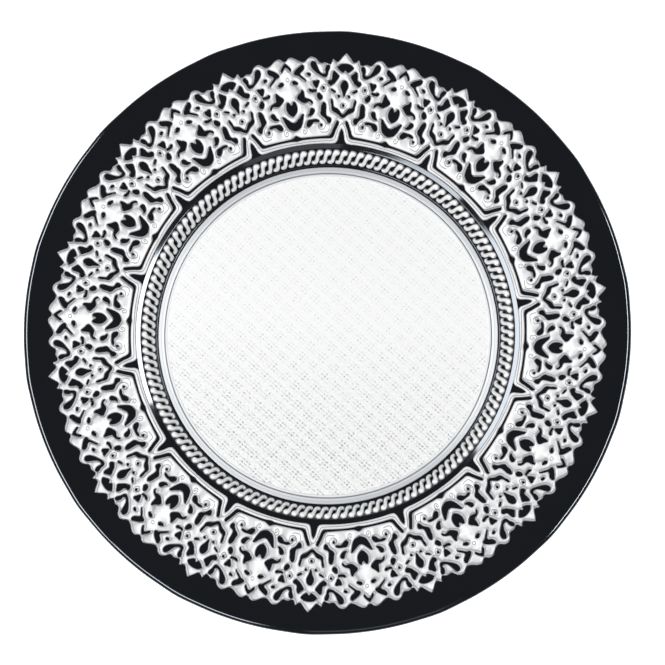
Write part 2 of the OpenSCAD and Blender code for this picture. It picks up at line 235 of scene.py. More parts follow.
window_shares = {
    "arch": [(0, 0.907), (0.03, 0.893), (0.06, 0.868), (0.086, 0.838), (0.08, 0.822),
             (0.062, 0.826), (0.04, 0.848), (0.02, 0.862), (0, 0.868)],
    "heart": [(0, 0.443), (0.022, 0.452), (0.035, 0.473), (0.058, 0.484), (0.083, 0.473),
              (0.1, 0.442), (0.104, 0.41), (0.094, 0.378), (0.07, 0.355), (0.035, 0.336),
              (0, 0.326)],
    "crescent": [(0, 0.25), (0.045, 0.259), (0.09, 0.281), (0.135, 0.304), (0.175, 0.328),
                 (0.215, 0.336), (0.205, 0.308), (0.188, 0.272), (0.165, 0.235), (0.13, 0.2),
                 (0.08, 0.18), (0, 0.166)],
    "channel": [(0, 0.105), (0.045, 0.094), (0.1, 0.078), (0.25, 0.074), (0.45, 0.075),
                (0.62, 0.078), (0.725, 0.084), (0.77, 0.107), (0.805, 0.15), (0.84, 0.192),
                (0.87, 0.228), (0.902, 0.252), (0.93, 0.24), (0.92, 0.208), (0.89, 0.17),
                (0.86, 0.13), (0.83, 0.09), (0.785, 0.067), (0.7, 0.061), (0.5, 0.059),
                (0.3, 0.058), (0.1, 0.055), (0, 0.048)],
    "lunette": [(1, 0.875), (0.95, 0.873), (0.905, 0.863), (0.862, 0.836), (0.862, 0.836),
                (0.895, 0.812), (0.93, 0.793), (0.962, 0.784), (0.982, 0.797), (1, 0.811)],
    "keyhole": [(1, 0.693), (0.968, 0.685), (0.944, 0.664), (0.933, 0.637), (0.94, 0.61),
                (0.96, 0.585), (0.976, 0.555), (0.985, 0.53), (1, 0.517)],
    "chevron": [(1, 0.319), (0.98, 0.325), (0.955, 0.342), (0.928, 0.363), (0.895, 0.381),
                (0.85, 0.391), (0.817, 0.405), (0.806, 0.432), (0.798, 0.466), (0.778, 0.49),
                (0.758, 0.472), (0.764, 0.44), (0.775, 0.41), (0.777, 0.38), (0.8, 0.359),
                (0.84, 0.345), (0.885, 0.333), (0.915, 0.321), (0.945, 0.305), (0.975, 0.292),
                (1, 0.289)],
    "hooked leaf": [(0.285, 0.876), (0.245, 0.862), (0.195, 0.841), (0.15, 0.815),
                    (0.124, 0.785), (0.15, 0.772), (0.19, 0.763), (0.225, 0.743), (0.265, 0.721),
                    (0.3, 0.703), (0.322, 0.694), (0.318, 0.708), (0.29, 0.728), (0.255, 0.75),
                    (0.225, 0.772), (0.238, 0.795), (0.275, 0.812), (0.302, 0.834),
                    (0.306, 0.862)],
    "eye of the upper scroll": [(0.344, 0.768), (0.36, 0.783), (0.387, 0.781), (0.411, 0.765),
                                (0.404, 0.752), (0.375, 0.753)],
    "upper scroll": [(0.461, 0.906), (0.497, 0.895), (0.522, 0.862), (0.542, 0.822),
                     (0.57, 0.787), (0.607, 0.766), (0.645, 0.762), (0.668, 0.774), (0.66, 0.803),
                     (0.667, 0.835), (0.688, 0.857), (0.714, 0.862), (0.737, 0.848),
                     (0.73, 0.82), (0.708, 0.79), (0.7, 0.758), (0.682, 0.737), (0.648, 0.731),
                     (0.605, 0.74), (0.555, 0.762), (0.505, 0.786), (0.462, 0.812),
                     (0.43, 0.842), (0.42, 0.875), (0.434, 0.897)],
    "wing": [(0.815, 0.796), (0.84, 0.783), (0.865, 0.765), (0.9, 0.743), (0.88, 0.715),
             (0.85, 0.69), (0.83, 0.67), (0.795, 0.654), (0.755, 0.638), (0.722, 0.65),
             (0.704, 0.671), (0.722, 0.689), (0.763, 0.694), (0.78, 0.712), (0.782, 0.745),
             (0.793, 0.783)],
    "slit under the wing": [(0.754, 0.591), (0.77, 0.6), (0.8, 0.591), (0.848, 0.569),
                            (0.832, 0.561), (0.79, 0.572)],
    "tall window": [(0.632, 0.453), (0.656, 0.441), (0.667, 0.408), (0.662, 0.36),
                    (0.665, 0.318), (0.69, 0.296), (0.73, 0.288), (0.765, 0.276), (0.766, 0.248),
                    (0.735, 0.225), (0.7, 0.23), (0.67, 0.262), (0.63, 0.288), (0.58, 0.307),
                    (0.555, 0.33), (0.566, 0.365), (0.573, 0.41), (0.6, 0.442)],
    "round window": [(0.5, 0.53), (0.515, 0.553), (0.542, 0.557), (0.574, 0.54), (0.603, 0.515),
                     (0.59, 0.493), (0.556, 0.483), (0.522, 0.493)],
    "small heart": [(0.436, 0.678), (0.453, 0.692), (0.492, 0.687), (0.532, 0.697),
                    (0.555, 0.688), (0.535, 0.655), (0.512, 0.622), (0.49, 0.614), (0.468, 0.63)],
    "slit under the heart": [(0.356, 0.596), (0.376, 0.607), (0.412, 0.597), (0.452, 0.593),
                             (0.495, 0.597), (0.497, 0.58), (0.44, 0.571), (0.385, 0.574)],
    "petal leaf": [(0.075, 0.69), (0.092, 0.707), (0.118, 0.709), (0.148, 0.697), (0.178, 0.679),
                   (0.155, 0.667), (0.105, 0.67)],
    "winged comma": [(0.238, 0.602), (0.258, 0.583), (0.264, 0.545), (0.275, 0.51), (0.32, 0.5),
                     (0.365, 0.49), (0.4, 0.472), (0.414, 0.45), (0.396, 0.443), (0.375, 0.46),
                     (0.34, 0.472), (0.29, 0.463), (0.24, 0.459), (0.195, 0.476), (0.15, 0.499),
                     (0.126, 0.515), (0.142, 0.542), (0.185, 0.563), (0.217, 0.587)],
    "leaf under the comma": [(0.37, 0.39), (0.415, 0.389), (0.44, 0.37), (0.422, 0.344),
                             (0.385, 0.322), (0.34, 0.31), (0.297, 0.316), (0.33, 0.336),
                             (0.347, 0.367)],
    "long comma": [(0.25, 0.21), (0.268, 0.243), (0.305, 0.262), (0.375, 0.265), (0.45, 0.268),
                   (0.505, 0.262), (0.53, 0.248), (0.49, 0.239), (0.43, 0.243), (0.39, 0.235),
                   (0.355, 0.212), (0.3, 0.192), (0.264, 0.196)]}
# Small round eyes bored in the scrolls, and fine lines cut into the silver round them. A ring is
# given by its middle and its half widths, round the plate and out
eye_shares = [(0.625, 0.612), (0.905, 0.52), (0.56, 0.206), (1, 0.421)]
eye_r = 0.65
ring_shares = [((1, 0.418), 1.7, 1.45), ((0, 0.73), 0.9, 0.9)]
cut_shares = [
    [(0.583, 0.6), (0.6, 0.573), (0.63, 0.563), (0.66, 0.58), (0.675, 0.607), (0.66, 0.637),
     (0.63, 0.65), (0.6, 0.636)],
    [(0, 0.022), (0, 0.022), (0.3, 0.026), (0.6, 0.028), (0.8, 0.034), (0.85, 0.05), (0.885, 0.1),
     (0.915, 0.15), (0.95, 0.193), (1, 0.226), (1, 0.226)],
    [(0.501, 0.209), (0.501, 0.209), (0.494, 0.187), (0.516, 0.165), (0.56, 0.154), (0.604, 0.159),
     (0.638, 0.179), (0.656, 0.205), (0.649, 0.235), (0.612, 0.26), (0.568, 0.279), (0.568, 0.279)],
    [(0.538, 0.131), (0.538, 0.131), (0.612, 0.124), (0.693, 0.128), (0.722, 0.15), (0.733, 0.187),
     (0.733, 0.187)],
    [(0.205, 0.152), (0.205, 0.152), (0.2, 0.163), (0.18, 0.165), (0.162, 0.15), (0.168, 0.13),
     (0.2, 0.118), (0.237, 0.128), (0.25, 0.155), (0.235, 0.182), (0.2, 0.195), (0.2, 0.195)]]
cut_w, cut_depth = 0.8, 0.3


def on_plan(share):
    """A share of the border on the plan of the plate, with the finial on +Y."""
    r, turn = border_r + share[1] * border_w, (share[0] - 1) * pi / repeats
    return np.array([r * sin(turn), r * cos(turn)])


def between(a, b, c, d, t):
    """A point between b and c on the centripetal curve through four points."""
    k = [0.0]
    for p, q in ((a, b), (b, c), (c, d)):
        k.append(k[-1] + sqrt(np.linalg.norm(q - p)))
    at = k[1] + (k[2] - k[1]) * t
    ab, bc, cd = (((k[n + 1] - at) * p + (at - k[n]) * q) / (k[n + 1] - k[n])
                  for n, p, q in ((0, a, b), (1, b, c), (2, c, d)))
    abc = ((k[2] - at) * ab + (at - k[0]) * bc) / (k[2] - k[0])
    bcd = ((k[3] - at) * bc + (at - k[1]) * cd) / (k[3] - k[1])
    return ((k[2] - at) * abc + (at - k[1]) * bcd) / (k[2] - k[1])


def flow(shares, spacing, plan=on_plan):
    """Points along a smooth curve through shares. One that starts on an axis of the repeat ends on
    one, and crosses both square unless its end is a corner, one that starts at a corner ends at
    one, and any other closes on itself."""
    n, is_open = len(shares), shares[0][0] in (0, 1) or shares[0] == shares[1]
    given = [plan(s) for s in shares]
    path = []
    for k in range(n - 1 if is_open else n):
        b, c = given[k], given[(k + 1) % n]
        if np.array_equal(b, c):
            continue
        if is_open and k == 0:
            a = plan((2 * shares[0][0] - shares[1][0], shares[1][1]))
        else:
            a = given[k - 1]
        if is_open and k == n - 2:
            d = plan((2 * shares[-1][0] - shares[-2][0], shares[-2][1]))
        else:
            d = given[(k + 2) % n]
        a = 2 * b - c if np.array_equal(a, b) else a
        d = 2 * c - b if np.array_equal(d, c) else d
        steps = max(1, round(np.linalg.norm(c - b) / spacing))
        path += [between(a, b, c, d, j / steps) for j in range(steps)]
    path.append(given[-1] if is_open else path[0])
    return np.array(path)


def ring(centre, across, out, spacing):
    """Points round an oval on the plan. On an axis of the repeat it is the half beside the axis."""
    middle = on_plan(centre)
    tangent = np.array([middle[1], -middle[0]]) / np.linalg.norm(middle)
    radial = middle / np.linalg.norm(middle)
    start, stop = {0: (pi / 2, -pi / 2), 1: (pi / 2, 1.5 * pi)}.get(centre[0], (0, 2 * pi))
    steps = max(8, round(abs(stop - start) * max(across, out) / spacing))
    return np.array([middle + across * cos(t) * tangent + out * sin(t) * radial
                     for t in np.linspace(start, stop, steps + 1)])


def normals(line):
    """Unit normals along a line on the plan."""
    along = np.gradient(line, axis=0)
    length = np.maximum(np.linalg.norm(along, axis=1), 1e-9)
    return np.stack([-along[:, 1], along[:, 0]], 1) / length[:, None]


def distance(points, lines):
    """Least distance of each point from the lines."""
    best = np.full(len(points), np.inf)
    for line in lines:
        a, run = line[:-1], line[1:] - line[:-1]
        length = np.maximum((run ** 2).sum(1), 1e-12)
        share = np.clip(((points[:, None] - a) * run).sum(2) / length, 0, 1)
        best = np.minimum(best, np.linalg.norm(points[:, None] - a - share[..., None] * run,
                                               axis=2).min(1))
    return best


def within(points, loops):
    """Which points an odd number of the closed loops holds."""
    odd = np.zeros(len(points), bool)
    for loop in loops:
        a, b = loop, np.roll(loop, -1, axis=0)
        over = (a[:, 1] > points[:, None, 1]) != (b[:, 1] > points[:, None, 1])
        rise = np.where(a[:, 1] == b[:, 1], 1, b[:, 1] - a[:, 1])
        cross = a[:, 0] + (points[:, None, 1] - a[:, 1]) * (b[:, 0] - a[:, 0]) / rise
        odd ^= (over & (points[:, None, 0] < cross)).sum(1) % 2 == 1
    return odd


def tile(points, lines, loops):
    """Triangles on the plan that keep to the lines and lie inside the loops."""
    plan, edges = [tuple(p) for p in points], []
    for line in lines:
        first = len(plan)
        plan += [tuple(p) for p in line]
        edges += [(first + k, first + k + 1) for k in range(len(line) - 1)]
    made = delaunay_2d_cdt([Vector(p) for p in plan], edges, [], 0, 1e-5, False)
    at = np.array([tuple(p) for p in made[0]])
    faces = np.array([f for f in made[2] if len(f) == 3])
    return at, faces[within(at[faces].mean(1), loops)]


# A top's points lie about a cell apart, clear of its seams, and those of a row beside an edge are
# kept where no other edge comes closer than this share of the row's reach
top_cell, cut_cell, seam_clear, reach_share = 0.3, 0.2, 0.15, 0.95


def raise_relief(edges, seams, loops, rises, cuts=(), rows=()):
    """Top and underside of a relief on the plan: its height grows with the distance from its
    edges as rises says, cuts are fine lines sunk into it, and rows are more points for its top."""
    kept, seen = [np.concatenate(seams)] if seams else [np.zeros((0, 2))], set()
    offers = [(line + side * reach * normals(line), reach_share * reach, top_cell)
              for reach, _ in rises[1:] for line in edges for side in (1, -1)]
    offers += [(line + side * cut_w / 2 * normals(line), rises[1][0], cut_cell)
               for side in (0, 1, -1) for line in cuts]
    offers += [(line, rises[1][0], top_cell) for line in rows]
    for offer, clear, apart in offers:
        keep = (distance(offer, edges) > clear) & within(offer, loops)
        if seams:
            keep &= distance(offer, seams) > seam_clear
        fresh = []
        for p in offer[keep]:
            cell = (apart, round(p[0] / apart), round(p[1] / apart))
            if cell not in seen:
                seen.add(cell)
                fresh.append(p)
        kept.append(np.array(fresh).reshape(-1, 2))
    top, faces = tile(np.concatenate(kept), edges + seams, loops)
    away = distance(top, edges)
    height = np.interp(away, *zip(*rises))
    sunk = np.zeros(len(top))
    if cuts:
        sunk = np.clip(1 - distance(top, cuts) / (cut_w / 2), 0, 1) * (away > rises[1][0])
    under, under_faces = tile(np.zeros((0, 2)), edges + seams, loops)
    return {"top": top, "faces": faces, "height": height - cut_depth * sunk, "cut": sunk,
            "under": under, "under_faces": under_faces}


def relief_mesh(name, reliefs, lay):
    """Mesh of reliefs laid on the glass, each as it is or as its twin. A point keeps its tone with
    painted shade, and how deep it lies in a cut."""
    points, tiles, smooth, film_tone_and_shade, cut = [], [], [], [], []
    for relief, hand, bright in reliefs:
        first, flip = len(points), np.array([hand, 1])
        plans = [relief["top"], relief["under"]]
        points += [lay(flip * p, h) for p, h in zip(plans[0], relief["height"])]
        points += [lay(flip * p, 0) for p in plans[1]]
        tiles += [[first + int(k) for k in f[::hand]] for f in relief["faces"]]
        first += len(plans[0])
        tiles += [[first + int(k) for k in f[::-hand]] for f in relief["under_faces"]]
        smooth += [True] * len(relief["faces"]) + [False] * len(relief["under_faces"])
        film_tone_and_shade += [v for plan in plans for v in bright(plan)]
        cut += list(relief["cut"]) + [0.0] * len(plans[1])
    mesh = bpy.data.meshes.new(name)
    mesh.from_pydata([tuple(p * mm) for p in points], [], tiles)
    mesh.polygons.foreach_set("use_smooth", smooth)
    for attribute, values in (("film_tone_and_shade", film_tone_and_shade), ("cut", cut)):
        mesh.attributes.new(attribute, "FLOAT", "POINT").data.foreach_set("value", values)
    return mesh


edge_step, eye_step, ring_step, cut_step, seam_step = 0.7, 0.4, 0.3, 0.4, 0.5
edges = [flow(s, edge_step) for s in [outer_shares, inner_shares, *window_shares.values()]]
edges += [ring(s, eye_r, eye_r, eye_step) for s in eye_shares]
cuts = [ring(*s, ring_step) for s in ring_shares] + [flow(s, cut_step) for s in cut_shares]
# The silver meets its twin along seams on the two axes, between the lines that end there
seams = []
for axis in (0, 1):
    line = on_plan((axis, 0))
    ends = sorted((p for e in edges for p in (e[0], e[-1])
                   if abs(p[0] * line[1] - p[1] * line[0]) < 1e-6
                   and not np.array_equal(e[0], e[-1])), key=np.linalg.norm)
    seams += [np.linspace(a, b, max(2, round(np.linalg.norm(b - a) / seam_step)))
              for a, b in zip(ends[::2], ends[1::2])]
loops = [np.concatenate([edges[0], edges[1]])] + edges[2:]
# Height of the silver by the distance from its edge
bevel = [(0, 0), (0.3, 0.42), (0.85, relief_t)]

# Painted shade: the tops are bright inside lines that stand this far inside the pressed lines,
# shifted clockwise and out, so a grey margin of painted shade lies beside every stroke, widest on
# that side. The moulding is bright whole, and close to any edge the tone is a bit darker, painted
# shade on the bevels
shade_inset, shade_shift_round, shade_shift_out, margin_w = 0.5, 0.7, 0.35, 1.3
moulding_w, moulding_fade, moulding_tone = 3.0, 0.5, 0.75
edge_shade, edge_shade_w = 0.14, 0.7
# On the scale of its tones bare glass is 0, and the film starts here
film_from = 0.15


def shifted_for_shade(points, hand, way=1):
    """Points moved with the shift of the painted shade, or against it, way -1, on a half of the
    repeat or its twin.
    """
    out = points / np.linalg.norm(points, axis=1)[:, None]
    clockwise = hand * np.stack([out[:, 1], -out[:, 0]], 1)
    return points + way * (shade_shift_round * clockwise + shade_shift_out * out)


def on_film(points, hand):
    """Tone of the film at points of the border, with painted shade: it grows with how far they lie
    inside the shifted lines, and in its lower half they are on the grey margin of painted shade."""
    moved = shifted_for_shade(points, hand)
    turn, r = -abs(np.arctan2(moved[:, 0], moved[:, 1])), np.linalg.norm(moved, axis=1)
    turn = abs(turn + pi / repeats) - pi / repeats
    folded = np.stack([r * np.sin(turn), r * np.cos(turn)], 1)
    # Painted shade: the grey margin lies on the side the lines are shifted to
    inside = np.where(within(folded, loops), 1, -1) * distance(folded, edges) - shade_inset
    moulding = moulding_tone * np.clip(
        moulding_w + moulding_fade - distance(points, edges[1:2]), 0, 1)
    tone = np.maximum(moulding, np.clip(0.5 + inside / (2 * margin_w), 0, 1))
    # Painted shade on the bevels: the tone is darker close to any pressed edge
    polish_and_edge_shade = np.minimum(1, 1 - edge_shade + edge_shade * distance(points, edges) / edge_shade_w)
    return film_from + (1 - film_from) * tone * polish_and_edge_shade


def on_rim(p, h):
    """A point of the border on the rim, h above the glass."""
    return np.array([p[0], p[1], rim_z(hypot(*p)) + h])


# Each half has rows of points along the shifted lines, so that the painted shade ends in a clean
# edge
film_rows = (-0.3, 0.1)
halves = []
for hand in (1, -1):
    rows = [shifted_for_shade(line + side * (shade_inset + off) * normals(line), hand, -1)
            for off in film_rows for line in edges for side in (1, -1)]
    halves.append((raise_relief(edges, seams, loops, bevel, cuts, rows), hand,
                   lambda plan, hand=hand: on_film(plan, hand)))
border = bpy.data.objects.new("silver_border", relief_mesh("repeat", halves, on_rim))
bpy.context.scene.collection.objects.link(border)


weld_gap = 0.002


def lay_round(piece, count, start, material):
    """Repeats a piece round the plate's axis, clockwise from start, as one mesh."""
    tree = bpy.data.node_groups.new(piece.name + "_round", "GeometryNodeTree")
    sockets = {name: tree.interface.new_socket(name, in_out="INPUT", socket_type=kind)
               for name, kind in (("Repeat", "NodeSocketGeometry"), ("Count", "NodeSocketInt"),
                                  ("Start", "NodeSocketFloat"), ("Finish", "NodeSocketMaterial"))}
    tree.interface.new_socket("Ring", in_out="OUTPUT", socket_type="NodeSocketGeometry")
    given = add(tree, "NodeGroupInput").outputs
    spots = add(tree, "GeometryNodePoints", {"Count": given["Count"]})
    step = add(tree, "ShaderNodeMath", {0: -2 * pi, 1: given["Count"]}, operation="DIVIDE")
    index = add(tree, "GeometryNodeInputIndex")
    turn = add(tree, "ShaderNodeMath", {0: index.outputs[0], 1: step.outputs[0],
                                        2: given["Start"]}, operation="MULTIPLY_ADD")
    spin = add(tree, "ShaderNodeCombineXYZ", {"Z": turn.outputs[0]})
    placed = add(tree, "GeometryNodeInstanceOnPoints", {
        "Points": spots.outputs[0], "Instance": given["Repeat"], "Rotation": spin.outputs[0]})
    whole = add(tree, "GeometryNodeRealizeInstances", {0: placed.outputs[0]})
    welded = add(tree, "GeometryNodeMergeByDistance", {"Geometry": whole.outputs[0],
                                                       "Distance": weld_gap * mm})
    dressed = add(tree, "GeometryNodeSetMaterial", {"Geometry": welded.outputs[0],
                                                    "Material": given["Finish"]})
    add(tree, "NodeGroupOutput", {0: dressed.outputs[0]})
    modifier = piece.modifiers.new("round", "NODES")
    modifier.node_group = tree
    for name, value in (("Count", count), ("Start", start), ("Finish", material)):
        modifier[sockets[name].identifier] = value
    made = piece.evaluated_get(bpy.context.evaluated_depsgraph_get())
    piece.data = bpy.data.meshes.new_from_object(made)
    piece.modifiers.clear()


# Silver plate on glass: a pale film of silver, bright on the tops, with painted shade grey on the
# margin, a painted shadow line along it and painted shade in the cuts, and a soft grain from the
# pressing.
silver, tree = new_material("silver_plate_painted_shade")
place = add(tree, "ShaderNodeTexCoord").outputs["Object"]
film_tone_and_shade = add(tree, "ShaderNodeAttribute", attribute_name="film_tone_and_shade").outputs["Fac"]
cut = add(tree, "ShaderNodeAttribute", attribute_name="cut").outputs["Fac"]
grain = add(tree, "ShaderNodeTexNoise", {"Vector": place, "Scale": 1 / (0.9 * mm), "Detail": 3.0})
cloud = add(tree, "ShaderNodeTexNoise", {"Vector": place, "Scale": 1 / (18 * mm), "Detail": 2.0})
film = add(tree, "ShaderNodeValToRGB", {"Fac": film_tone_and_shade})
film.color_ramp.elements[0].color = srgb("#090A0D")
film.color_ramp.elements[1].color = srgb("#FEFEFE")
# Painted shade on the margin up to 0.46, and a painted shadow line at 0.54 along its edge
for share, code in ((0.06, "#090A0D"), (film_from, "#ACAEB0"), (0.38, "#BEC0C2"), (0.46, "#B0B2B4"),
                    (0.54, "#66686C"), (0.64, "#D0D1D2"), (0.8, "#E6E6E7")):
    film.color_ramp.elements.new(share).color = srgb(code)
patina = add(tree, "ShaderNodeMix", {"Factor": cloud.outputs["Fac"], "A": srgb("#F4F4F3"),
                                     "B": srgb("#FFFFFF")}, data_type="RGBA")
plate = add(tree, "ShaderNodeMix", {"Factor": 1.0, "A": film.outputs["Color"],
                                    "B": patina.outputs["Result"]},
            data_type="RGBA", blend_type="MULTIPLY")
# Painted shade: the sunk cut lines are toned darker grey
tone = add(tree, "ShaderNodeMix", {"Factor": cut, "A": plate.outputs["Result"],
                                   "B": srgb("#6E7074")}, data_type="RGBA")
sheen = add(tree, "ShaderNodeMapRange", {"Value": grain.outputs["Fac"], "From Min": 0.3,
                                         "From Max": 0.7, "To Min": 0.36, "To Max": 0.48})
dimple = add(tree, "ShaderNodeBump", {"Height": grain.outputs["Fac"], "Strength": 0.12,
                                      "Distance": 0.05 * mm})
skin = add(tree, "ShaderNodeBsdfPrincipled", {
    "Base Color": tone.outputs["Result"], "Roughness": sheen.outputs["Result"],
    "Normal": dimple.outputs["Normal"], "Metallic": 0.2})
add(tree, "ShaderNodeOutputMaterial", {"Surface": skin.outputs["BSDF"]})
lay_round(border, repeats, 0.0, silver)
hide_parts(*[f"border_panel_{k:02d}" for k in range(1, repeats + 1)])
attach(border, "root")


# Rope
# S-shaped links lying side by side on the slope, raised like the border, ten to each repeat. Their
# ends close on the next link, and painted shade darkens the sides of their shanks and their lowest
# edge. A link's first share runs along the rope in links, the second across it, going out.
links, rope_gap, rope_t = 140, 1.0, 1.6
# The first link lies this share of a link clockwise of the first finial
first_link = 0.15
rope_w = (np.linalg.norm(shoulder - well) - rope_gap
          - shoulder_r * tan((slope_tilt - verge_tilt) / 2))
rope_r, rope_z = well + rope_gap * np.array([cos(slope_tilt), sin(slope_tilt)])
link_shares = [
    (0.75, 0.7), (0.82, 0.78), (0.83, 0.87), (0.68, 0.95), (0.48, 0.985), (0.3, 0.99),
    (0.13, 0.96), (0.01, 0.9), (-0.09, 0.82), (-0.17, 0.74), (-0.24, 0.66), (-0.3, 0.55),
    (-0.35, 0.46), (-0.43, 0.39), (-0.54, 0.37), (-0.64, 0.37), (-0.75, 0.3), (-0.82, 0.22),
    (-0.83, 0.13), (-0.68, 0.05), (-0.48, 0.015), (-0.3, 0.01), (-0.13, 0.04), (-0.01, 0.1),
    (0.09, 0.18), (0.17, 0.26), (0.24, 0.34), (0.3, 0.45), (0.35, 0.54), (0.43, 0.61),
    (0.54, 0.63), (0.64, 0.63)]
link_shade_shares = [
    (0.7, 0.72), (0.83, 0.76), (0.86, 0.84), (0.83, 0.9), (0.68, 0.95), (0.48, 0.985), (0.3, 0.99),
    (0.13, 0.96), (0.02, 0.9), (-0.07, 0.82), (-0.12, 0.74), (-0.16, 0.64), (-0.21, 0.53),
    (-0.27, 0.43), (-0.37, 0.345), (-0.52, 0.31), (-0.7, 0.32), (-0.83, 0.28), (-0.86, 0.22),
    (-0.7, 0.175), (-0.5, 0.16), (-0.32, 0.16), (-0.16, 0.175), (-0.03, 0.2), (0.07, 0.24),
    (0.13, 0.29), (0.17, 0.37), (0.21, 0.47), (0.27, 0.57), (0.37, 0.655), (0.52, 0.69)]
pitch = 2 * pi * (rope_r + rope_w / 2 * cos(slope_tilt)) / links


def on_slope(p, h):
    """A point of a link, laid flat, on the slope at the first finial and h out from the glass."""
    r = rope_r + p[1] * cos(slope_tilt) - h * sin(slope_tilt)
    turn = p[0] / pitch * 2 * pi / links
    return np.array([r * sin(turn), r * cos(turn),
                     rope_z + p[1] * sin(slope_tilt) + h * cos(slope_tilt)])


link_step = 1.1
outline, link_shade_edge = (flow(shares, link_step, lambda s: np.array([s[0] * pitch, s[1] * rope_w]))
                      for shares in (link_shares, link_shade_shares))
# Height of a link by the distance from its edge, and tone, with painted shade, by the distance
# inside the shade's edge
swell = [(0, 0), (0.2, 0.75), (0.5, 1.3), (0.85, rope_t)]
link_tones = [(-0.16, 0), (0, 0.58), (0.3, 0.72), (0.6, 1)]
link_rows = (-0.15, 0.05, 0.3)
rows = [link_shade_edge + off * normals(link_shade_edge) for off in link_rows]


def on_link(points):
    """Tone of the film at points of a link, with painted shade on the sides and lowest edge."""
    inside = np.where(within(points, [link_shade_edge]), 1, -1) * distance(points, [link_shade_edge])
    return np.interp(inside, *zip(*link_tones))


rope = bpy.data.objects.new("silver_rope", relief_mesh("link", [(
    raise_relief([outline], [], [outline], swell, rows=rows), 1, on_link)], on_slope))
bpy.context.scene.collection.objects.link(rope)
lay_round(rope, links, -first_link * 2 * pi / links, silver)
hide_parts("rope_links")
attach(rope, "root")


# Band
# A plain ring round the floor of the well, raised in the pressing with rolled edges, plated and
# left satin, between the black groove under the rope and the fine groove round the medallion.
band_gap, band_w, band_t, band_round, band_foot = 0.9, 3.3, 1.0, 0.45, 0.1
band_r = well_r - band_gap
band_in_r = band_r - band_w
band_top = floor_z + band_t
ring_sides = 20 * repeats
arc = [(cos(t), sin(t)) for t in np.linspace(0, pi / 2, 5)]
band = turned("silver_band", hold(
    [(band_in_r, floor_z), (band_r, floor_z), (band_r, floor_z + band_foot)]
    + [(band_r - band_round * (1 - c), band_top - band_round * (1 - s)) for c, s in arc]
    + [(band_in_r + band_round * (1 - c), band_top - band_round * (1 - s)) for c, s in arc[::-1]]
    + [(band_in_r, floor_z + band_foot), (band_in_r, floor_z)], margin=0.15)[:-1], ring_sides)

# Satin silver plate: brushed round as the plate was spun, so its fine lines run along the band.
# They are drawn coarser than real brush lines, so that they show.
satin, tree = new_material("silver_plate_satin")
place = add(tree, "ShaderNodeTexCoord").outputs["Object"]
flat = add(tree, "ShaderNodeVectorMath", {0: place, 1: (1, 1, 0)}, operation="MULTIPLY").outputs[0]
out = add(tree, "ShaderNodeVectorMath", {0: flat}, operation="LENGTH").outputs["Value"]
lines = add(tree, "ShaderNodeTexNoise", {"W": out, "Scale": 1 / (0.35 * mm), "Detail": 2.0},
            noise_dimensions="1D")
cloud = add(tree, "ShaderNodeTexNoise", {"Vector": place, "Scale": 1 / (25 * mm), "Detail": 2.0})
shade = add(tree, "ShaderNodeMapRange", {"Value": out, "From Min": band_in_r * mm,
                                         "From Max": band_r * mm}).outputs["Result"]
# Painted shade: the band is darker on its rolled edges and along a painted groove line round its
# middle
band_shade_ramp = add(tree, "ShaderNodeValToRGB", {"Fac": shade})
band_shade_ramp.color_ramp.elements[0].color = srgb("#C4C6C9")
band_shade_ramp.color_ramp.elements[1].color = srgb("#C8CACE")
for share, code in ((0.2, "#F4F5F6"), (0.36, "#F0F1F2"), (0.48, "#D2D4D8"), (0.6, "#E6E7EA"),
                    (0.88, "#E2E4E6")):
    band_shade_ramp.color_ramp.elements.new(share).color = srgb(code)
patina = add(tree, "ShaderNodeMix", {"Factor": cloud.outputs["Fac"], "A": srgb("#F4F6F8"),
                                     "B": srgb("#FFFFFF")}, data_type="RGBA")
tone = add(tree, "ShaderNodeMix", {"Factor": 1.0, "A": band_shade_ramp.outputs["Color"],
                                   "B": patina.outputs["Result"]},
           data_type="RGBA", blend_type="MULTIPLY")
sheen = add(tree, "ShaderNodeMapRange", {"Value": lines.outputs["Fac"], "From Min": 0.3,
                                         "From Max": 0.7, "To Min": 0.3, "To Max": 0.42})
along = add(tree, "ShaderNodeTangent", direction_type="RADIAL", axis="Z")
dimple = add(tree, "ShaderNodeBump", {"Height": lines.outputs["Fac"], "Strength": 0.15,
                                      "Distance": 0.04 * mm})
skin = add(tree, "ShaderNodeBsdfPrincipled", {
    "Base Color": tone.outputs["Result"], "Roughness": sheen.outputs["Result"],
    "Normal": dimple.outputs["Normal"], "Tangent": along.outputs["Tangent"], "Metallic": 0.42,
    "Anisotropic": 0.8, "Anisotropic Rotation": 0.25})
add(tree, "ShaderNodeOutputMaterial", {"Surface": skin.outputs["BSDF"]})
band.data.materials.append(satin)
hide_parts("well_band")
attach(band, "root")


# Medallion
# The silvered floor of the well: a flat field inside a low rolled rim, engraved all over with a
# mesh of fine lines in threes that cross in diamonds. Its silver runs on into the fine groove.
medallion_gap, medallion_t, medallion_rim_w, medallion_rim_t = 0.4, 0.8, 1.4, 0.25
groove_in_t, groove_out_t = 0.4, 0.35
medallion_r = band_in_r - medallion_gap
field_r, field_z = medallion_r - medallion_rim_w, floor_z + medallion_t
rim_mid, rim_half = medallion_r - medallion_rim_w / 2, medallion_rim_w / 2
rolled = [(rim_mid - rim_half * cos(t), field_z + medallion_rim_t * sin(t))
          for t in np.linspace(0, pi, 11)]
medallion = turned("silver_medallion", hold(
    [(0, field_z)] + rolled
    + [(medallion_r, floor_z + groove_in_t), (band_in_r, floor_z + groove_out_t),
       (band_in_r, floor_z), (0, floor_z)], margin=0.2), ring_sides)

# Engraved silver plate: bright between the lines, and grey where two lines cross and the graver
# cut through the polish, so that the mesh shows as small groups of dots, drawn a little wider than
# the real ones so that they show. The mesh is drawn stronger on the side away from the first
# finial and fainter from the middle of the field towards it.
engraved, tree = new_material("silver_plate_engraved")
place = add(tree, "ShaderNodeTexCoord").outputs["Object"]
mesh_shift = (0.1 * mm, 1.1 * mm, 0)
mesh_place = add(tree, "ShaderNodeVectorMath", {0: place, 1: mesh_shift}).outputs[0]
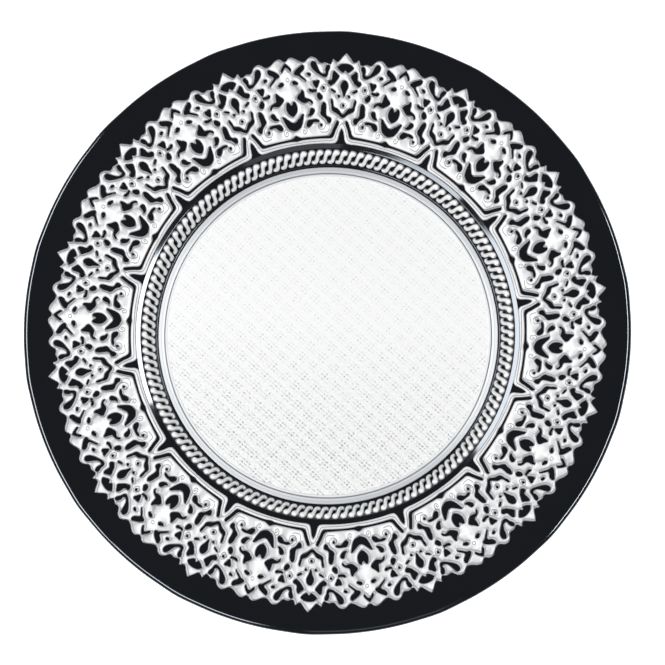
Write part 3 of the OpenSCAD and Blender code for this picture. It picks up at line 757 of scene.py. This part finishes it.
# Each set of lines has its turn in degrees, the millimetres from one group of three to the next,
# and how much fainter a group's outer lines are. A fourth line is left out between the groups, and
# each line's floor and half width are shares of the step from line to line
line_sets = ((51.8, 7.14, 0.25), (-38.4, 8.1, 0.45))
steps_per_group, line_floor, line_half_w = 4, 0.05, 0.32
grooves = []
for turn, period, fade in line_sets:
    step = period / steps_per_group * mm
    across = add(tree, "ShaderNodeVectorMath", {
        0: mesh_place, 1: (cos(radians(turn)) / step, sin(radians(turn)) / step, 0)},
        operation="DOT_PRODUCT").outputs["Value"]
    cell = add(tree, "ShaderNodeMath", {0: across}, operation="FLOOR").outputs[0]
    fourth = add(tree, "ShaderNodeMath", {0: cell, 1: steps_per_group},
                 operation="FLOORED_MODULO").outputs[0]
    beside = add(tree, "ShaderNodeMath", {0: fourth, 1: 2.0}, operation="SUBTRACT").outputs[0]
    square = add(tree, "ShaderNodeMath", {0: beside, 1: beside}, operation="MULTIPLY").outputs[0]
    cut = add(tree, "ShaderNodeMath", {0: square, 1: -fade, 2: 1.0}, operation="MULTIPLY_ADD",
              use_clamp=True).outputs[0]
    part = add(tree, "ShaderNodeMath", {0: across}, operation="FRACT").outputs[0]
    off = add(tree, "ShaderNodeMath", {0: part, 1: 0.5}, operation="SUBTRACT").outputs[0]
    side = add(tree, "ShaderNodeMath", {0: off}, operation="ABSOLUTE").outputs[0]
    vee = add(tree, "ShaderNodeMapRange", {"Value": side, "From Min": line_floor,
                                           "From Max": line_half_w, "To Min": 1.0, "To Max": 0.0})
    grooves.append(add(tree, "ShaderNodeMath", {0: vee.outputs["Result"], 1: cut},
                       operation="MULTIPLY").outputs[0])
# The lines are all but worn away, except where they cross, and fine scratches lie between them
cross_depth, line_depths, scratch_depth = 0.62, (0.15, 0.03), 0.105
deep = add(tree, "ShaderNodeMath", {0: grooves[0], 1: grooves[1]}, operation="MULTIPLY").outputs[0]
fine = add(tree, "ShaderNodeMath", {0: grooves[1], 1: line_depths[1], 2: scratch_depth},
           operation="MULTIPLY_ADD").outputs[0]
lines = add(tree, "ShaderNodeMath", {0: grooves[0], 1: line_depths[0], 2: fine},
            operation="MULTIPLY_ADD").outputs[0]
mesh_cut = add(tree, "ShaderNodeMath", {0: deep, 1: cross_depth, 2: lines},
               operation="MULTIPLY_ADD").outputs[0]
flat = add(tree, "ShaderNodeVectorMath", {0: place, 1: (1, 1, 0)}, operation="MULTIPLY").outputs[0]
spread = add(tree, "ShaderNodeVectorMath", {0: flat}, operation="LENGTH").outputs["Value"]
field = add(tree, "ShaderNodeMath", {0: spread, 1: field_r * mm},
            operation="LESS_THAN").outputs[0]
mesh_cut = add(tree, "ShaderNodeMath", {0: mesh_cut, 1: field}, operation="MULTIPLY").outputs[0]
grain = add(tree, "ShaderNodeTexNoise", {"Vector": place, "Scale": 1 / (1.2 * mm), "Detail": 3.0})
bite = add(tree, "ShaderNodeMapRange", {"Value": grain.outputs["Fac"], "From Min": 0.38,
                                        "From Max": 0.62, "To Min": 0.15, "To Max": 1.0})
fresh = add(tree, "ShaderNodeMath", {0: mesh_cut, 1: bite.outputs["Result"]},
            operation="MULTIPLY").outputs[0]
along = add(tree, "ShaderNodeSeparateXYZ", {0: place}).outputs["Y"]
mesh_gain = add(tree, "ShaderNodeMapRange", {
    "Value": along, "From Min": -0.75 * medallion_r * mm, "From Max": 0.1 * medallion_r * mm,
    "To Min": 2.4, "To Max": 0.8})
mesh_shown = add(tree, "ShaderNodeMath", {0: fresh, 1: mesh_gain.outputs["Result"]}, operation="MULTIPLY",
           use_clamp=True).outputs[0]
# Painted shade: grey at the feet of the rolled rim and darkest down in the fine groove
rim = add(tree, "ShaderNodeMapRange", {"Value": spread, "From Min": field_r * mm,
                                       "From Max": band_in_r * mm}).outputs["Result"]
rim_groove_shade = add(tree, "ShaderNodeValToRGB", {"Fac": rim})
rim_groove_shade.color_ramp.elements[0].color = srgb("#F5F5F4")
rim_groove_shade.color_ramp.elements[1].color = srgb("#9A9CA0")
for share, code in ((0.1, "#CDCED0"), (0.3, "#E8E8E9"), (0.55, "#DADBDC"), (0.78, "#A2A4A7")):
    rim_groove_shade.color_ramp.elements.new(share).color = srgb(code)
tone = add(tree, "ShaderNodeMix", {"Factor": mesh_shown, "A": rim_groove_shade.outputs["Color"],
                                   "B": srgb("#949495")}, data_type="RGBA")
sheen = add(tree, "ShaderNodeMapRange", {"Value": grain.outputs["Fac"], "From Min": 0.3,
                                         "From Max": 0.7, "To Min": 0.28, "To Max": 0.38})
depth = add(tree, "ShaderNodeMath", {0: 1.0, 1: mesh_cut}, operation="SUBTRACT").outputs[0]
dimple = add(tree, "ShaderNodeBump", {"Height": depth, "Strength": 0.35, "Distance": 0.15 * mm})
skin = add(tree, "ShaderNodeBsdfPrincipled", {
    "Base Color": tone.outputs["Result"], "Roughness": sheen.outputs["Result"],
    "Normal": dimple.outputs["Normal"], "Metallic": 0.12})
add(tree, "ShaderNodeOutputMaterial", {"Surface": skin.outputs["BSDF"]})
medallion.data.materials.append(engraved)
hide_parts("centre_medallion")
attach(medallion, "root")


# Table, lights and camera
# The plate lies on a lit white sheet between two long soft boxes, with a card at its side and one
# in front, under a grey ceiling that its flat black glass mirrors. The camera looks almost straight
# down from far off.
# The table lies a hair under the foot, so that their faces don't flicker
table_w, table_drop = 6.0, 0.05
bpy.ops.mesh.primitive_plane_add(size=table_w, location=(0, 0, -table_drop * mm))
table = bpy.context.object
table.name = "table_top"
sheet_white, tree = new_material("opal_acrylic_sheet")
place = add(tree, "ShaderNodeTexCoord").outputs["Object"]
cloud = add(tree, "ShaderNodeTexNoise", {"Vector": place, "Scale": 3.0, "Detail": 2.0})
tone = add(tree, "ShaderNodeMix", {"Factor": cloud.outputs["Fac"], "A": srgb("#F4F4F4"),
                                   "B": srgb("#FFFFFF")}, data_type="RGBA")
skin = add(tree, "ShaderNodeBsdfPrincipled", {
    "Base Color": tone.outputs["Result"], "Roughness": 0.6, "Emission Color": (1, 1, 1, 1),
    "Emission Strength": 0.75})
add(tree, "ShaderNodeOutputMaterial", {"Surface": skin.outputs["BSDF"]})
table.data.materials.append(sheet_white)

world = bpy.data.worlds.new("grey_room")
world.use_nodes = True
world.node_tree.nodes["Background"].inputs["Color"].default_value = srgb("#5E6064")
world.node_tree.nodes["Background"].inputs["Strength"].default_value = 1.0
bpy.context.scene.world = world

middle, picture_turn = Vector((0, 0, 0.02)), radians(3.96)


def on_picture(right, up):
    """A step over the table, so far right and up as the picture shows it."""
    return Vector((right * cos(picture_turn) - up * sin(picture_turn),
                   right * sin(picture_turn) + up * cos(picture_turn), 0))


def soft_light(name, at, size, power):
    """A white rectangular soft light at a place, turned to the middle of the plate."""
    light = bpy.data.lights.new(name, "AREA")
    light.shape, light.size, light.size_y = "RECTANGLE", *size
    light.energy = power
    lamp = bpy.data.objects.new(name, light)
    aim = (middle - at).to_track_quat("-Z", "Y").to_matrix().to_4x4()
    lamp.matrix_world = Matrix.Translation(at) @ aim
    lamp.visible_camera = False
    bpy.context.scene.collection.objects.link(lamp)


# Each light stands a metre off, turned clockwise from the top of the picture and down from
# overhead by these degrees, and has its size in metres and its power in watts
for name, turn, down, size, power in (
        ("soft_box_right", 92, 36.8, (0.82, 0.09), 5.6),
        ("soft_box_left", 273, 40.5, (1.1, 0.18), 7.6),
        ("side_card", 216, 39, (0.4, 0.2), 2.5),
        ("front_card", 170, 36, (0.35, 0.3), 0.22)):
    across = on_picture(sin(radians(turn)), cos(radians(turn)))
    over = Vector((0, 0, cos(radians(down))))
    soft_light(name, middle + sin(radians(down)) * across + over, size, power)

# The camera leans from overhead towards the foot of the picture, a little to its right
tilt, lean, away = radians(7.3), on_picture(0.25, -0.97), 10.0
frame_w, frame_px, sensor_w = 0.36013, 665, 36.0
aim = middle + frame_w / frame_px * on_picture(5.12, 0.22)
toward = (sin(tilt) * lean + cos(tilt) * Vector((0, 0, 1))).normalized()
right = on_picture(0, 1).cross(toward).normalized()
up = toward.cross(right)
lens = bpy.data.cameras.new("camera")
lens.sensor_width, lens.lens = sensor_w, sensor_w * away / frame_w
lens.clip_end = 2 * away
camera = bpy.data.objects.new("camera", lens)
camera.matrix_world = Matrix.Translation(aim + away * toward) @ Matrix(
    (right, up, toward)).transposed().to_4x4()
bpy.context.scene.collection.objects.link(camera)
bpy.context.scene.camera = camera
bpy.context.scene.view_settings.view_transform = "Standard"
